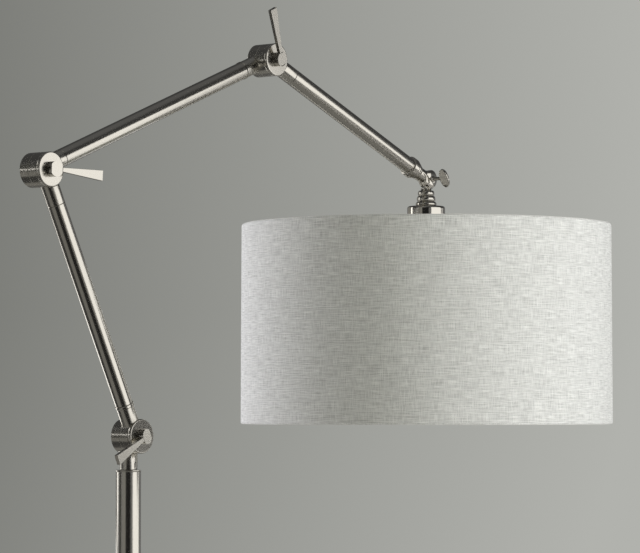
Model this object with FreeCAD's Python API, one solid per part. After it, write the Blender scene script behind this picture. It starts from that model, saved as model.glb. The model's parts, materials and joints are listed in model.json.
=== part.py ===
import FreeCAD, Part
import math
import os

# Bridge floor lamp with three clamp joints, a tilting shade knuckle and a drum shade.
# Millimetres, +Z up.  The origin is on the floor at the post axis; the arms swing in the
# XZ plane, reach towards +X, and every clamp lever faces -Y, which is the front.

# ---- Overall sizes and the stored pose -----------------------------------------------
joint_height = 1150.0       # floor to the axis of the post joint
lower_arm_length = 320.0    # between joint axes
middle_arm_length = 400.0
outer_arm_length = 320.0    # top joint axis to shade knuckle axis
lower_arm_angle = 116.5     # all arm angles are from +X towards +Z
middle_arm_angle = 21.9
outer_arm_angle = -22.5
shade_diameter = 457.0      # at the bottom edge
shade_taper = 2.0           # the top edge is this much narrower
shade_height = 245.0
shade_drop = 56.5           # knuckle axis to the top edge of the shade

# ---- Tubes and fits --------------------------------------------------------------------
arm_diameter = 20.0
arm_wall = 1.2
post_diameter = 28.0
post_wall = 1.2
plug_clearance = 0.05       # a plug or thread inside its hole
running_clearance = 0.05    # a pin that turns in its hole
loose_clearance = 0.3       # pieces that pass but do not guide each other
edge_break = 0.5            # small chamfer on turned edges
wire_bore = 6.0             # passage for the inner wiring

# ---- Clamp joints --------------------------------------------------------------------
barrel_diameter = 38.0
half_length = 12.5          # each half of a barrel
joint_washer_thickness = 0.4
joint_washer_width = 3.2
split_edge_break = 0.15     # of the halves at their split, and of the washer in it
cap_length = 4.4
cap_rounding = 1.4
arm_offset = 6.2            # arm plane to the split plane of the joints
neck_offset = 3.5           # neck plane to the split plane of the post joint
stub_reach = 40.0           # joint axis to the end of an arm tube
neck_reach = 37.0           # post joint axis to the top of the post
plug_length = 15.0
cope_gap = 0.5              # between a stub and the half that it rides over
boss_diameter = 19.0        # round the clamp bolt, inside the barrel
chamber_wall = 4.0
chamber_depth = 8.0
bolt_diameter = 8.0
bolt_head_diameter = 13.0
bolt_head_height = 4.4
bolt_recess_depth = 5.0
bolt_recess_diameter = 15.0
bolt_socket_flats = 5.0
bolt_socket_depth = 2.6
bolt_grip = 6.0             # length of bolt inside the lever hub

# ---- Clamp levers --------------------------------------------------------------------
hub_diameter = 16.6
hub_length = 8.0
blade_length = 61.0         # bolt axis to tip
blade_root_width = 3.4
blade_tip_width = 11.4
blade_thickness = 4.4
blade_lean = 9.5            # the tip stands this much further forward than the hub
blade_edge_break = 0.3
post_lever_angle = 204.3
elbow_lever_angle = -4.1
top_lever_angle = 115.6

# ---- Small rings on the arms -----------------------------------------------------------
ring_length = 3.4
ring_rise = 0.5             # the ring stands proud of the tube

# ---- End of the outer arm and shade knuckle --------------------------------------------
collar_reach = 38.5         # knuckle axis to the end of the outer tube
collar_diameter = 25.0
collar_length = 9.5
collar_rounding = 2.2
bead_diameters = (22.0, 19.2)
bead_length = 4.2
collar_screw_reach = 33.8   # knuckle axis to the small screw under the collar
collar_screw_diameter = 3.0
collar_screw_head_diameter = 4.4
collar_screw_head_height = 1.6
collar_screw_depth = 4.0
knuckle_diameter = 21.8
knuckle_shift = 2.5         # knuckle centre to the arm plane, towards the front
tongue_thickness = 5.0
tongue_side_gap = 0.15
cheek_thickness = 3.4
cheek_dome = 1.6
cheek_bulge = 0.3           # of the dome, beyond a straight slope
cheek_spot_diameter = 8.4
fork_root_diameter = 16.4
fork_stud_diameter = 8.0
fork_stud_length = 10.0
knuckle_pin_diameter = 5.0
knuckle_nut_flats = 8.0
knuckle_nut_height = 3.0
thumb_neck_diameter = 4.4
thumb_neck_length = 11.0
thumb_collar_height = 1.2
paddle_length = 23.6
paddle_width = 12.8
paddle_thickness = 3.6
paddle_rounding = 0.8
paddle_angle = 116.0

# ---- Turned stem between knuckle and shade ---------------------------------------------
stem_neck_diameter = 13.0
stem_first_bead = 14.4      # knuckle axis to the top of the first bead
stem_bead_diameters = (20.4, 23.0, 25.8)
stem_bead_lengths = (6.8, 7.2, 5.0)
stem_groove = 1.2           # depth of the grooves between the beads

# ---- Lampholder and its cup --------------------------------------------------------------
cup_diameter = 47.0
cup_height = 40.5
cup_wall = 1.2
cup_rounding = 3.2
nipple_diameter = 10.0
nipple_grip = 12.0          # length of thread in the stem
holder_body_diameter = 43.6
holder_shoulder = 1.5       # shoulder below the rim of the cup
holder_thread_diameter = 39.2
holder_thread_length = 22.0
holder_crown = 22.0         # solid crown above the socket
socket_diameter = 26.7      # inside of the screw shell for the lamp
shell_wall = 0.6
shell_setback = 2.0
socket_length = 28.0
contact_diameter = 8.0
contact_height = 2.4

# ---- Shade -----------------------------------------------------------------------------
fabric_thickness = 0.9
glue_thickness = 0.12       # between the fabric and its liner
liner_thickness = 0.6
ring_wire_diameter = 4.0
ring_inset = 2.6            # shade edge to the centre of a ring wire
spoke_diameter = 3.6
spoke_count = 3
first_spoke_angle = 90.0
spoke_bend = 12.0
carrier_plate_width = 7.0
carrier_plate_thickness = 2.0
shade_ring_height = 6.0
shade_ring_width = 8.0
shade_ring_notches = 12
shade_ring_notch = 3.0

# ---- Stand -----------------------------------------------------------------------------
base_diameter = 300.0
base_height = 24.0
base_rounding = 6.0
base_cover_wall = 1.2
base_cover_lift = 1.0       # floor to the lower edge of the cover
pad_thickness = 2.0
pad_margin = 6.0
weight_gap = 0.8            # between the weight and the side of the cover
nut_pocket_diameter = 34.0
nut_pocket_depth = 10.0
cord_channel_width = 9.0
cord_channel_height = 9.0
base_washer_diameter = 28.0
base_washer_thickness = 1.5
base_nut_flats = 17.0
base_nut_height = 5.0
nipple_tail = 1.5           # nipple beyond the base nut
grommet_hole_diameter = 12.0
grommet_flange_diameter = 16.0
grommet_flange_thickness = 1.8
grommet_bore = 7.0
grommet_height = 11.0       # floor to the middle of the cord inlet
foot_diameter = 46.0
foot_height = 14.0
foot_floor = 3.0
foot_edge = 2.5
foot_lip = 2.0
foot_plug_length = 20.0
coupler_depth = 25.0        # plug of the coupler in each post tube
coupler_lip = 1.0
coupler_bore = 12.0
top_ring_lip = 2.0
top_ring_depth = 20.0
neck_plug_diameter = 16.6

# ---- Sizes that follow -------------------------------------------------------------------
arm_radius = arm_diameter / 2
arm_bore_radius = arm_radius - arm_wall
post_radius = post_diameter / 2
post_bore_radius = post_radius - post_wall
barrel_radius = barrel_diameter / 2
half_washer = joint_washer_thickness / 2
half_outer = half_washer + half_length
cap_front = half_outer + cap_length
split_plane = neck_offset               # distances to the front are from the post axis
front_plane = split_plane + arm_offset
rear_plane = split_plane - arm_offset
post_top = joint_height - neck_reach
post_foot_level = base_height + foot_floor
post_middle = (post_foot_level + post_top) / 2

up = FreeCAD.Vector(0, 0, 1)
right = FreeCAD.Vector(1, 0, 0)
across = FreeCAD.Vector(0, 1, 0)
origin = FreeCAD.Vector(0, 0, 0)


# ---- Drawing helpers ---------------------------------------------------------------------
def outline(start, steps):
    """Closed wire through (radius, height) points; a step of two points is an arc."""
    first = FreeCAD.Vector(start[0], 0, start[1])
    here = first
    edges = []
    for step in steps:
        if isinstance(step[0], tuple):
            middle = FreeCAD.Vector(step[0][0], 0, step[0][1])
            end = FreeCAD.Vector(step[1][0], 0, step[1][1])
            edges.append(Part.Arc(here, middle, end).toShape())
        else:
            end = FreeCAD.Vector(step[0], 0, step[1])
            edges.append(Part.makeLine(here, end))
        here = end
    edges.append(Part.makeLine(here, first))
    return Part.Wire(edges)


def turned(start, *steps):
    """Solid turned about +Z from a closed outline of (radius, height) points."""
    return Part.Face(outline(start, steps)).revolve(origin, up, 360)


def turned_along(start, *steps):
    """Solid turned about +X from a closed outline of (radius, distance) points."""
    shape = turned(start, *steps)
    shape.rotate(origin, across, 90)
    return shape


def post(radius, low, high, x=0.0, y=0.0):
    """Cylinder about a vertical axis."""
    return Part.makeCylinder(radius, high - low, FreeCAD.Vector(x, y, low), up)


def rod(radius, near, far, height=0.0):
    """Cylinder along +X at a height."""
    return Part.makeCylinder(radius, far - near, FreeCAD.Vector(near, 0, height), right)


def underside(radius, near, far, along):
    """Cylinder that points down from the axis of an arm, at a distance along it."""
    start = FreeCAD.Vector(along, -near, 0)
    return Part.makeCylinder(radius, far - near, start, FreeCAD.Vector(0, -1, 0))


def hexagon(flats, low, high):
    """Six-sided prism about +Z, from its width across flats."""
    sides = 6
    half_side = math.pi / sides
    corner = flats / 2 / math.cos(half_side)
    points = []
    for number in range(sides + 1):
        angle = 2 * half_side * number
        points.append(FreeCAD.Vector(corner * math.cos(angle), corner * math.sin(angle), low))
    face = Part.Face(Part.makePolygon(points))
    return face.extrude(FreeCAD.Vector(0, 0, high - low))


def quarter(centre_radius, centre_height, radius):
    """Middle point of the quarter turn that rounds an outer, upper edge."""
    lean = radius * math.sqrt(0.5)
    return (centre_radius + lean, centre_height + lean)


def dome(rim, low, rise):
    """Arc step from a rim at a height up to the axis."""
    ball = (rim ** 2 + rise ** 2) / (2 * rise)
    half = math.asin(rim / ball) / 2
    centre = low + rise - ball
    middle = (ball * math.sin(half), centre + ball * math.cos(half))
    return (middle, (0, low + rise))


def bead(radius, top, length, groove):
    """Arc step of a rounded bead whose top is at a height and that runs down."""
    root = radius - groove
    middle = (radius, top - length / 2)
    end = (root, top - length)
    return (middle, end)


# ---- The chain of joints, seen from the front --------------------------------------------
# A piece of the arms is drawn with its joint axis or its tube along the way it needs,
# X along the arm, Y across it and Z towards the front, and is then put in its place.
def step_along(start, angle, distance):
    """Point at a distance from start, in the direction of an arm angle."""
    turn = math.radians(angle)
    return (start[0] + distance * math.cos(turn), start[1] + distance * math.sin(turn))


post_joint = (0.0, 0.0)
elbow = step_along(post_joint, lower_arm_angle, lower_arm_length)
top_joint = step_along(elbow, middle_arm_angle, middle_arm_length)
knuckle = step_along(top_joint, outer_arm_angle, outer_arm_length)


def stood_up(shape, at, angle, plane=0.0):
    """Turn a piece to its arm angle, put it at its joint and stand the drawing up."""
    shape.rotate(origin, up, angle)
    shape.translate(FreeCAD.Vector(at[0], at[1], plane))
    shape.rotate(origin, right, 90)
    shape.translate(FreeCAD.Vector(0, 0, joint_height))
    return shape


parts = {}      # the finished pieces by name


# ---- Clamp joints ----------------------------------------------------------------------
def clamp_half(side, offset, reach, plug_radius, plug):
    """Half of a clamp barrel with its arm stub.  side is 1 for the front half, -1 for the
    rear half; heights run from the split plane, and the stub points along +X."""
    disc = turned(
        (0, side * half_washer),
        (barrel_radius - split_edge_break, side * half_washer),
        (barrel_radius, side * (half_washer + split_edge_break)),
        (barrel_radius, side * (half_outer - edge_break)),
        (barrel_radius - edge_break, side * half_outer),
        (0, side * half_outer),
    )
    stub = turned_along(
        (0, 0),
        (arm_radius, 0),
        (arm_radius, reach - edge_break),
        (arm_radius - edge_break, reach),
        (plug_radius, reach),
        (plug_radius, reach + plug),
        (0, reach + plug),
    )
    stub.translate(FreeCAD.Vector(0, 0, side * offset))
    beyond = barrel_diameter
    other_half = post(barrel_radius + cope_gap, -beyond, half_washer)
    own_end = post(barrel_radius + cope_gap, half_outer, beyond)
    if side < 0:
        other_half = post(barrel_radius + cope_gap, -half_washer, beyond)
        own_end = post(barrel_radius + cope_gap, -beyond, -half_outer)
    stub = stub.cut(other_half).cut(own_end)
    half = disc.fuse(stub)
    chamber = turned(
        (boss_diameter / 2, 0),
        (barrel_radius - chamber_wall, 0),
        (barrel_radius - chamber_wall, side * (half_washer + chamber_depth)),
        (boss_diameter / 2, side * (half_washer + chamber_depth)),
    )
    chamber_middle = (boss_diameter / 2 + barrel_radius - chamber_wall) / 2
    wiring = rod(wire_bore / 2, chamber_middle, reach + plug, side * offset)
    half = half.cut(chamber).cut(wiring)
    half = half.cut(post(bolt_diameter / 2 + running_clearance, -beyond, beyond))
    if side < 0:
        recess = post(bolt_recess_diameter / 2, -half_outer, -half_outer + bolt_recess_depth)
        half = half.cut(recess)
    return half


def joint_washer():
    """Thin ring between the two halves of a barrel."""
    outer = barrel_radius - split_edge_break
    inner = outer - joint_washer_width
    return turned(
        (inner, -half_washer),
        (outer, -half_washer),
        (outer, half_washer),
        (inner, half_washer),
    )


def joint_cap():
    """Front disc of a barrel, with a rounded front edge."""
    hole = bolt_diameter / 2 + running_clearance
    soft = barrel_radius - cap_rounding
    middle = quarter(soft, cap_front - cap_rounding, cap_rounding)
    return turned(
        (hole, half_outer),
        (barrel_radius - edge_break, half_outer),
        (barrel_radius, half_outer + edge_break),
        (barrel_radius, cap_front - cap_rounding),
        (middle, (soft, cap_front)),
        (hole, cap_front),
    )


def clamp_bolt():
    """Socket-head bolt from the rear recess through the barrel into the lever hub."""
    seat = -half_outer + bolt_recess_depth
    head_end = seat - bolt_head_height
    tip = cap_front + bolt_grip
    shank = bolt_diameter / 2
    head = bolt_head_diameter / 2
    bolt = turned(
        (0, head_end),
        (head - edge_break, head_end),
        (head, head_end + edge_break),
        (head, seat),
        (shank, seat),
        (shank, tip - edge_break),
        (shank - edge_break, tip),
        (0, tip),
    )
    return bolt.cut(hexagon(bolt_socket_flats, head_end, head_end + bolt_socket_depth))


def lever():
    """Clamp lever: round hub with a flat blade that widens to a square tip.  One sloping
    plane makes the face of the blade and the face of the hub."""
    bore = bolt_diameter / 2 + running_clearance
    radius = hub_diameter / 2
    hub_front = cap_front + hub_length
    lean = math.degrees(math.atan2(blade_lean, blade_length))
    run = math.hypot(blade_lean, blade_length)
    root = blade_root_width / 2
    tip = blade_tip_width / 2
    plan = Part.makePolygon([
        FreeCAD.Vector(0, -root, 0),
        FreeCAD.Vector(run, -tip, 0),
        FreeCAD.Vector(run, tip, 0),
        FreeCAD.Vector(0, root, 0),
        FreeCAD.Vector(0, -root, 0),
    ])
    blade = Part.Face(plan).extrude(FreeCAD.Vector(0, 0, -blade_thickness))
    tip_edges = [edge for edge in blade.Edges if edge.CenterOfMass.x > radius]
    blade = blade.makeFillet(blade_edge_break, tip_edges)
    above = Part.makeBox(4 * radius, 4 * radius, 2 * radius)
    above.translate(FreeCAD.Vector(-2 * radius, -2 * radius, 0))
    for shape in (blade, above):
        shape.rotate(origin, across, -lean)
        shape.translate(FreeCAD.Vector(0, 0, hub_front))
    hub = turned(
        (0, cap_front),
        (radius - edge_break, cap_front),
        (radius, cap_front + edge_break),
        (radius, hub_front + radius),
        (0, hub_front + radius),
    )
    whole = hub.cut(above).fuse(blade).removeSplitter()
    return whole.cut(post(bore, cap_front, cap_front + bolt_grip + edge_break))


def arm_tube(near, far, radius=arm_radius, bore=arm_bore_radius):
    """Straight tube along +X with broken outer edges, so each end shows a fine line."""
    return turned_along(
        (bore, near),
        (radius - edge_break, near),
        (radius, near + edge_break),
        (radius, far - edge_break),
        (radius - edge_break, far),
        (bore, far),
    )


arm_plug_radius = arm_bore_radius - plug_clearance


def front_half(ring):
    """Front half for an arm; ring is the length of the small ring on its stub."""
    return clamp_half(1, arm_offset, stub_reach - ring, arm_plug_radius, ring + plug_length)


def rear_half(ring):
    """Rear half for an arm; ring is the length of the small ring on its stub."""
    return clamp_half(-1, arm_offset, stub_reach - ring, arm_plug_radius, ring + plug_length)


def neck_half():
    return clamp_half(-1, neck_offset, neck_reach, neck_plug_diameter / 2, plug_length)


def make_joints():
    """The three clamp joints, each with its halves at the angles of its own arms."""
    down = -90.0
    lower_back = lower_arm_angle - 180.0
    middle_back = middle_arm_angle - 180.0
    neck = neck_half()
    ringed = front_half(ring_length)
    plain = front_half(0)
    joints = (
        ("post_joint", post_joint, neck, down, ringed, lower_arm_angle, post_lever_angle),
        ("elbow", elbow, rear_half(0), middle_arm_angle, plain, lower_back, elbow_lever_angle),
        ("top_joint", top_joint, rear_half(ring_length), middle_back, plain.copy(),
         outer_arm_angle, top_lever_angle),
    )
    for name, place, rear, rear_angle, front, front_angle, lever_angle in joints:
        parts[name + "_rear"] = stood_up(rear, place, rear_angle, split_plane)
        parts[name + "_washer"] = stood_up(joint_washer(), place, rear_angle, split_plane)
        parts[name + "_bolt"] = stood_up(clamp_bolt(), place, rear_angle, split_plane)
        parts[name + "_front"] = stood_up(front, place, front_angle, split_plane)
        parts[name + "_cap"] = stood_up(joint_cap(), place, front_angle, split_plane)
        parts[name + "_lever"] = stood_up(lever(), place, lever_angle, split_plane)


def make_arm_tubes():
    """The three arm tubes between the stubs, and the small rings of two of them."""
    lower = arm_tube(stub_reach, lower_arm_length - stub_reach)
    parts["lower_arm_tube"] = stood_up(lower, post_joint, lower_arm_angle, front_plane)
    middle = arm_tube(stub_reach, middle_arm_length - stub_reach)
    parts["middle_arm_tube"] = stood_up(middle, elbow, middle_arm_angle, rear_plane)
    outer = arm_tube(stub_reach, outer_arm_length - collar_reach)
    parts["outer_arm_tube"] = stood_up(outer, top_joint, outer_arm_angle, front_plane)
    proud = arm_radius + ring_rise
    low_ring = arm_tube(stub_reach - ring_length, stub_reach, proud)
    parts["lower_arm_ring"] = stood_up(low_ring, post_joint, lower_arm_angle, front_plane)
    ring_start = middle_arm_length - stub_reach
    high_ring = arm_tube(ring_start, ring_start + ring_length, proud)
    parts["middle_arm_ring"] = stood_up(high_ring, elbow, middle_arm_angle, rear_plane)


# ---- Shade knuckle ---------------------------------------------------------------------
def make_arm_end():
    """Turned collar with two beads at the end of the outer arm, and its small screw."""
    radius = collar_diameter / 2
    plug = arm_plug_radius
    start = -collar_reach
    front = start + collar_length
    soft = radius - collar_rounding
    outer_steps = [
        (plug, start - plug_length),
        (plug, start),
        (radius - edge_break, start),
        (radius, start + edge_break),
        (radius, front - collar_rounding),
        (quarter(soft, front - collar_rounding, collar_rounding), (soft, front)),
    ]
    for diameter in bead_diameters:
        root = diameter / 2 - edge_break
        outer_steps.append((root, front))
        outer_steps.append(((diameter / 2, front + bead_length / 2), (root, front + bead_length)))
        front = front + bead_length
    inner = fork_stud_diameter / 2 + plug_clearance
    outer_steps.append((inner, front))
    outer_steps.append((inner, front - fork_stud_length - plug_clearance))
    outer_steps.append((wire_bore / 2, front - fork_stud_length - plug_clearance))
    collar = turned_along((wire_bore / 2, start - plug_length), *outer_steps)
    shank_radius = collar_screw_diameter / 2
    hole_floor = radius - collar_screw_depth
    collar = collar.cut(
        underside(shank_radius + plug_clearance, hole_floor, radius, -collar_screw_reach)
    )
    parts["outer_arm_collar"] = stood_up(collar, knuckle, outer_arm_angle, front_plane)
    head = collar_screw_head_diameter / 2
    screw = turned_along(
        (0, hole_floor),
        (shank_radius, hole_floor),
        (shank_radius, radius),
        (head, radius),
        dome(head, radius, collar_screw_head_height),
    )
    screw.rotate(origin, up, -90)
    screw.translate(FreeCAD.Vector(-collar_screw_reach, 0, 0))
    parts["collar_screw"] = stood_up(screw, knuckle, outer_arm_angle, front_plane)
    return front


tongue_half = tongue_thickness / 2
cheek_inner = tongue_half + tongue_side_gap
cheek_outer = cheek_inner + cheek_thickness
cheek_crown = cheek_outer + cheek_dome
knuckle_radius = knuckle_diameter / 2
pin_hole_radius = knuckle_pin_diameter / 2 + running_clearance


def cheek(side):
    """Domed round cheek of the fork, on one side of the tongue."""
    spot = cheek_spot_diameter / 2
    middle_radius = (knuckle_radius + spot) / 2
    middle_height = (cheek_outer + cheek_crown) / 2 + cheek_bulge
    return turned(
        (pin_hole_radius, side * cheek_inner),
        (knuckle_radius, side * cheek_inner),
        (knuckle_radius, side * cheek_outer),
        ((middle_radius, side * middle_height), (spot, side * cheek_crown)),
        (pin_hole_radius, side * cheek_crown),
    )


def make_knuckle(collar_front):
    """Fork on the outer arm, its nut, and the thumbscrew that clamps the tilt."""
    root = turned_along(
        (0, collar_front - fork_stud_length),
        (fork_stud_diameter / 2, collar_front - fork_stud_length),
        (fork_stud_diameter / 2, collar_front),
        (fork_root_diameter / 2, collar_front),
        (fork_root_diameter / 2, 0),
        (0, 0),
    )
    root.translate(FreeCAD.Vector(0, 0, -knuckle_shift))
    root = root.cut(post(knuckle_radius, -barrel_radius, barrel_radius))
    fork = root.fuse(cheek(1)).fuse(cheek(-1))
    fork = fork.cut(post(knuckle_radius + loose_clearance, -cheek_inner, cheek_inner))
    centre = front_plane + knuckle_shift
    parts["knuckle_fork"] = stood_up(fork.removeSplitter(), knuckle, outer_arm_angle, centre)
    nut_end = -cheek_crown - knuckle_nut_height
    nut = hexagon(knuckle_nut_flats, nut_end, -cheek_crown)
    nut = nut.cut(post(pin_hole_radius, nut_end, -cheek_crown))
    parts["knuckle_nut"] = stood_up(nut, knuckle, outer_arm_angle, centre)
    parts["knuckle_thumbscrew"] = stood_up(thumbscrew(nut_end), knuckle, paddle_angle, centre)


def thumbscrew(tail):
    """Pin with a collar, a thin neck and an oval paddle for finger and thumb."""
    pin = knuckle_pin_diameter / 2
    neck = thumb_neck_diameter / 2
    collar_top = cheek_crown + thumb_collar_height
    neck_end = collar_top + thumb_neck_length
    paddle_centre = neck_end + paddle_width / 2 - edge_break
    spindle = turned(
        (0, tail),
        (pin, tail),
        (pin, cheek_crown),
        (cheek_spot_diameter / 2 - edge_break, cheek_crown),
        (cheek_spot_diameter / 2 - edge_break, collar_top),
        (neck, collar_top + thumb_collar_height),
        (neck, neck_end + edge_break),
        (0, neck_end + edge_break),
    )
    oval = Part.Ellipse(origin, paddle_length / 2, paddle_width / 2).toShape()
    paddle = Part.Face(Part.Wire([oval])).extrude(FreeCAD.Vector(0, 0, paddle_thickness))
    paddle = paddle.makeFillet(paddle_rounding, paddle.Edges)
    paddle.translate(FreeCAD.Vector(0, 0, -paddle_thickness / 2))
    paddle.rotate(origin, right, 90)
    paddle.translate(FreeCAD.Vector(0, 0, paddle_centre))
    return spindle.fuse(paddle)


# ---- Stem, lampholder and shade ----------------------------------------------------------
# These are drawn about the vertical axis of the shade, with heights from the knuckle axis.
def hung(shape):
    """Put a piece of the shade head on the knuckle axis."""
    shape.translate(FreeCAD.Vector(knuckle[0], -front_plane, joint_height + knuckle[1]))
    return shape


stem_bottom = -stem_first_bead - sum(stem_bead_lengths)
cup_rim = stem_bottom - cup_height
holder_top = stem_bottom - cup_wall
shoulder_level = cup_rim - holder_shoulder
holder_mouth = shoulder_level - holder_thread_length
socket_floor = holder_top - holder_crown
thread_radius = holder_thread_diameter / 2
nipple_radius = nipple_diameter / 2


def shade_stem():
    """Turned stem: tongue for the fork, neck, and three beads that widen downwards."""
    neck_radius = stem_neck_diameter / 2
    hole = nipple_radius + plug_clearance
    neck_top = -(knuckle_radius + loose_clearance)
    steps = [(neck_radius, neck_top), (neck_radius, -stem_first_bead)]
    level = -stem_first_bead
    for diameter, length in zip(stem_bead_diameters, stem_bead_lengths):
        steps.append((diameter / 2 - stem_groove, level))
        steps.append(bead(diameter / 2, level, length, stem_groove))
        level = level - length
    steps.append((hole, level))
    steps.append((hole, level + nipple_grip))
    steps.append((wire_bore / 2, level + nipple_grip))
    steps.append((wire_bore / 2, neck_top - wire_bore / 2))
    steps.append((0, neck_top - wire_bore / 2))
    stem = turned((0, neck_top), *steps)
    tongue = post(knuckle_radius - loose_clearance, -tongue_half, tongue_half)
    web = Part.makeBox(
        2 * neck_radius, -neck_top + edge_break, tongue_thickness,
        FreeCAD.Vector(-neck_radius, neck_top - edge_break, -tongue_half),
    )
    tongue = tongue.fuse(web)
    tongue = tongue.cut(post(pin_hole_radius, -tongue_thickness, tongue_thickness))
    tongue.rotate(origin, right, 90)
    tongue.translate(FreeCAD.Vector(0, -knuckle_shift, 0))
    tongue = tongue.common(post(knuckle_radius, neck_top - edge_break, knuckle_radius))
    return stem.fuse(tongue).removeSplitter()


def holder_cup():
    """Drawn metal cup that hides the lampholder."""
    radius = cup_diameter / 2
    inner = radius - cup_wall
    soft = cup_rounding
    inner_soft = cup_rounding - cup_wall
    hole = nipple_radius + plug_clearance
    return turned(
        (hole, stem_bottom),
        (radius - soft, stem_bottom),
        (quarter(radius - soft, stem_bottom - soft, soft), (radius, stem_bottom - soft)),
        (radius, cup_rim),
        (inner, cup_rim),
        (inner, stem_bottom - soft),
        (quarter(radius - soft, stem_bottom - soft, inner_soft),
         (radius - soft, stem_bottom - cup_wall)),
        (hole, stem_bottom - cup_wall),
    )


def lampholder_body():
    """Moulded lampholder with an outer thread for the shade ring and an open socket."""
    radius = holder_body_diameter / 2
    hole = nipple_radius + plug_clearance
    cavity = socket_diameter / 2 + shell_wall + plug_clearance
    return turned(
        (hole, holder_top),
        (radius - cup_rounding, holder_top),
        (radius, holder_top - cup_rounding),
        (radius, shoulder_level),
        (thread_radius, shoulder_level),
        (thread_radius, holder_mouth + edge_break),
        (thread_radius - edge_break, holder_mouth),
        (cavity, holder_mouth),
        (cavity, socket_floor),
        (hole, socket_floor),
    )


def lampholder_shell():
    """Screw shell that takes the lamp."""
    inner = socket_diameter / 2
    low = holder_mouth + shell_setback
    return turned(
        (inner, low),
        (inner + shell_wall, low),
        (inner + shell_wall, low + socket_length),
        (inner, low + socket_length),
    )


def lampholder_contact():
    """Plate with a raised centre contact, pressed into the crown of the socket."""
    plate = socket_diameter / 2 - shell_wall
    button = contact_diameter / 2
    return turned(
        (0, socket_floor),
        (plate, socket_floor),
        (plate, socket_floor - shell_wall),
        (button, socket_floor - shell_wall),
        (button, socket_floor - contact_height + edge_break),
        (button - edge_break, socket_floor - contact_height),
        (0, socket_floor - contact_height),
    )


def holder_nipple():
    """Hollow threaded nipple that joins stem, cup and lampholder."""
    bottom = holder_top - holder_crown / 2
    top = stem_bottom + nipple_grip - plug_clearance
    bore = wire_bore / 2
    return turned(
        (bore, bottom),
        (nipple_radius, bottom),
        (nipple_radius, top),
        (bore, top),
    )


shade_top = -shade_drop
shade_bottom = shade_top - shade_height
carrier_bottom = shoulder_level - carrier_plate_thickness
shade_slope = shade_taper / 2 / shade_height


def shade_radius(level):
    """Outer radius of the drum at a height."""
    return shade_diameter / 2 - (level - shade_bottom) * shade_slope


def drum(outer_inset, thickness):
    """Closed wall of the drum, from an inset of its outer face."""
    top_radius = shade_radius(shade_top) - outer_inset
    bottom_radius = shade_radius(shade_bottom) - outer_inset
    return turned(
        (top_radius - thickness, shade_top),
        (top_radius, shade_top),
        (bottom_radius, shade_bottom),
        (bottom_radius - thickness, shade_bottom),
    )


def ring_radius(level):
    """Centre radius of a ring wire that lies inside the liner at a height."""
    skin = fabric_thickness + glue_thickness + liner_thickness
    return shade_radius(level) - skin - ring_wire_diameter / 2 - plug_clearance


def ring_wire(level):
    """Round wire ring at a height."""
    return Part.makeTorus(
        ring_radius(level), ring_wire_diameter / 2, FreeCAD.Vector(0, 0, level), up
    )


def spoke():
    """Wire from the centre plate, out under the shade edge and up to the top ring."""
    level = (shoulder_level + carrier_bottom) / 2
    start = thread_radius + carrier_plate_width / 2
    top_level = shade_top - ring_inset
    reach = ring_radius(top_level)
    elbow_end = FreeCAD.Vector(reach, 0, level + spoke_bend)
    elbow_start = FreeCAD.Vector(reach - spoke_bend, 0, level)
    lean = spoke_bend * math.sqrt(0.5)
    middle = FreeCAD.Vector(reach - spoke_bend + lean, 0, level + spoke_bend - lean)
    path = Part.Wire([
        Part.makeLine(FreeCAD.Vector(start, 0, level), elbow_start),
        Part.Arc(elbow_start, middle, elbow_end).toShape(),
        Part.makeLine(elbow_end, FreeCAD.Vector(reach, 0, top_level)),
    ])
    circle = Part.makeCircle(spoke_diameter / 2, FreeCAD.Vector(start, 0, level), right)
    return path.makePipeShell([Part.Wire([circle])], True, False)


def shade_carrier():
    """Welded carrier: centre plate, three spokes and the top ring."""
    hole = thread_radius + loose_clearance
    plate = turned(
        (hole, carrier_bottom),
        (hole + carrier_plate_width, carrier_bottom),
        (hole + carrier_plate_width, shoulder_level),
        (hole, shoulder_level),
    )
    carrier = plate.fuse(ring_wire(shade_top - ring_inset))
    for number in range(spoke_count):
        arm = spoke()
        arm.rotate(origin, up, first_spoke_angle + number * 360 / spoke_count)
        carrier = carrier.fuse(arm)
    # a spoke is thicker than the plate, so it is planed flush with the plate's faces
    core = hole + carrier_plate_width
    above = post(core, shoulder_level, shoulder_level + spoke_diameter)
    below = post(core, carrier_bottom - spoke_diameter, carrier_bottom)
    return carrier.cut(above).cut(below)


def shade_ring():
    """Notched plastic ring that screws up under the carrier plate."""
    inner = thread_radius + plug_clearance
    outer = inner + shade_ring_width
    low = carrier_bottom - shade_ring_height
    ring = turned(
        (inner, low),
        (outer - edge_break, low),
        (outer, low + edge_break),
        (outer, carrier_bottom),
        (inner, carrier_bottom),
    )
    for number in range(shade_ring_notches):
        turn = math.radians(number * 360 / shade_ring_notches)
        notch_x = outer * math.cos(turn)
        notch_y = outer * math.sin(turn)
        ring = ring.cut(post(shade_ring_notch / 2, low, carrier_bottom, notch_x, notch_y))
    return ring


def make_shade_head():
    """Everything that tilts with the shade."""
    parts["shade_stem"] = hung(shade_stem())
    parts["holder_cup"] = hung(holder_cup())
    parts["holder_nipple"] = hung(holder_nipple())
    parts["lampholder_body"] = hung(lampholder_body())
    parts["lampholder_shell"] = hung(lampholder_shell())
    parts["lampholder_contact"] = hung(lampholder_contact())
    parts["shade_carrier"] = hung(shade_carrier())
    parts["shade_ring"] = hung(shade_ring())
    parts["shade_bottom_ring"] = hung(ring_wire(shade_bottom + ring_inset))
    parts["shade_liner"] = hung(drum(fabric_thickness + glue_thickness, liner_thickness))
    parts["shade_fabric"] = hung(drum(0, fabric_thickness))


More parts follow.
